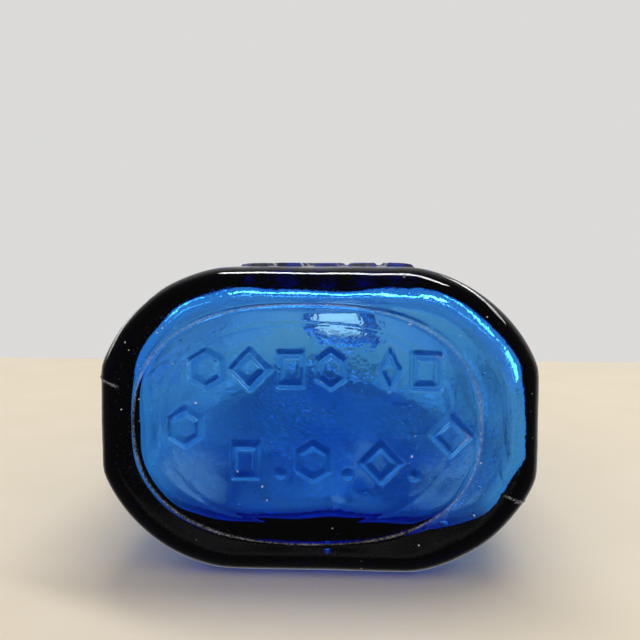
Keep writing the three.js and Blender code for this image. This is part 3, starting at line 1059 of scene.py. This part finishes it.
def studio():
    """Pale walls all round. The glass mirrors only the wall behind it and the lit table before it."""
    nodes = Nodes(bpy.data.worlds.new("studio"))
    direction = nodes.add("SeparateXYZ", Vector=nodes.add("TexCoord").outputs["Generated"]).outputs
    wall_behind = nodes.smooth_ramp(direction["Y"], 0.3, 1.0, 0.05, 0.5)
    below = nodes.smooth_ramp(direction["Z"], -0.25, -0.4)
    table_before = nodes.smooth_ramp(direction["Y"], -0.7, -0.85, 0.0, 0.14)
    mirrored = nodes.math("ADD", wall_behind, nodes.math("MULTIPLY", below, table_before))
    ray = nodes.add("LightPath").outputs
    glossy = nodes.math("SUBTRACT", ray["Is Reflection Ray"], ray["Is Diffuse Ray"])
    seen = nodes.ramp(ray["Is Diffuse Ray"], 0.0, 1.0, WALL_LIGHT, AMBIENT_LIGHT)
    strength = nodes.add("Mix", Factor=glossy, A=seen, B=mirrored).outputs["Result"]
    walls = nodes.add("Background", Color=WALL_COLOUR, Strength=strength)
    nodes.add("OutputWorld", Surface=walls.outputs[0])
    bpy.context.scene.world = nodes.owner


def area_light(name, place, target, size, power, reaches):
    """A rectangular light that only the named kinds of ray can reach."""
    light = bpy.data.lights.new(name, "AREA")
    light.shape = "RECTANGLE"
    light.size, light.size_y = size
    light.energy = power
    lamp = bpy.data.objects.new(name, light)
    bpy.context.scene.collection.objects.link(lamp)
    lamp.location = place
    lamp.rotation_euler = (Vector(target) - Vector(place)).to_track_quat("-Z", "Y").to_euler()
    for ray in ("camera", "diffuse", "glossy", "transmission"):
        setattr(lamp, "visible_" + ray, ray in reaches)


BODY_MIDDLE = (0.0, 0.0, 0.03)
STRIP = (0.8, 0.12)

# Each light: its name, place, target, size, power and the kinds of ray that reach it.
LIGHTS = (
    ("window", (0.1, 0.2, 1.0), BODY_MIDDLE, (0.95, 0.14), 6.0, ("diffuse", "glossy", "transmission")),
    ("strip_right", (0.62, 0.5, 0.62), BODY_MIDDLE, STRIP, 1.5, ("glossy", "transmission")),
    ("strip_left", (-0.8, 0.75, 0.25), BODY_MIDDLE, STRIP, 0.5, ("glossy",)),
    ("glow_right", (0.9, 0.1, 0.3), BODY_MIDDLE, (0.5, 0.3), 2.0, ("transmission",)),
    ("glow_left", (-0.62, 0.5, 0.62), BODY_MIDDLE, STRIP, 1.5, ("transmission",)),
    ("mouth_daylight", (0.0, 0.05, 0.028), (0.0, 0.1, 0.028), (0.014, 0.014), 0.026, ("diffuse",)),
)


def lights():
    """A window high above, a soft strip each side, two glows seen only through the glass, and a small lamp
    in the shoulder, which lights the liner as the daylight would in an open mouth."""
    for light in LIGHTS:
        area_light(*light)


CAMERA_DISTANCE = 0.135
CAMERA_ASIDE = 0.00095
CAMERA_HEIGHT = 0.0565
CAMERA_PITCH = math.radians(4.13)
CAMERA_AZIMUTH = math.radians(3.54)
FOCAL_LENGTH = 43.53
SENSOR_WIDTH = 36
NEAREST_SEEN = 0.01
GLASS_BOUNCES = 24


def camera():
    """Close in front of the base, just above the level of the front panel, looking slightly down."""
    lens = bpy.data.cameras.new("camera")
    lens.lens = FOCAL_LENGTH
    lens.sensor_width = SENSOR_WIDTH
    lens.clip_start = NEAREST_SEEN
    viewer = bpy.data.objects.new("camera", lens)
    bpy.context.scene.collection.objects.link(viewer)
    back = (math.sin(CAMERA_AZIMUTH), -math.cos(CAMERA_AZIMUTH))
    viewer.location = (
        CAMERA_ASIDE + CAMERA_DISTANCE * back[0],
        glass_low.y + CAMERA_DISTANCE * back[1],
        CAMERA_HEIGHT,
    )
    viewer.rotation_euler = (math.pi / 2 - CAMERA_PITCH, 0, CAMERA_AZIMUTH)
    bpy.context.scene.camera = viewer


def image_settings():
    """Plain colours, and enough bounces for light to find its way out of thick glass."""
    scene = bpy.context.scene
    scene.view_settings.view_transform = "Standard"
    scene.cycles.max_bounces = GLASS_BOUNCES
    scene.cycles.transmission_bounces = GLASS_BOUNCES


lay_floor()
studio()
lights()
camera()
image_settings()
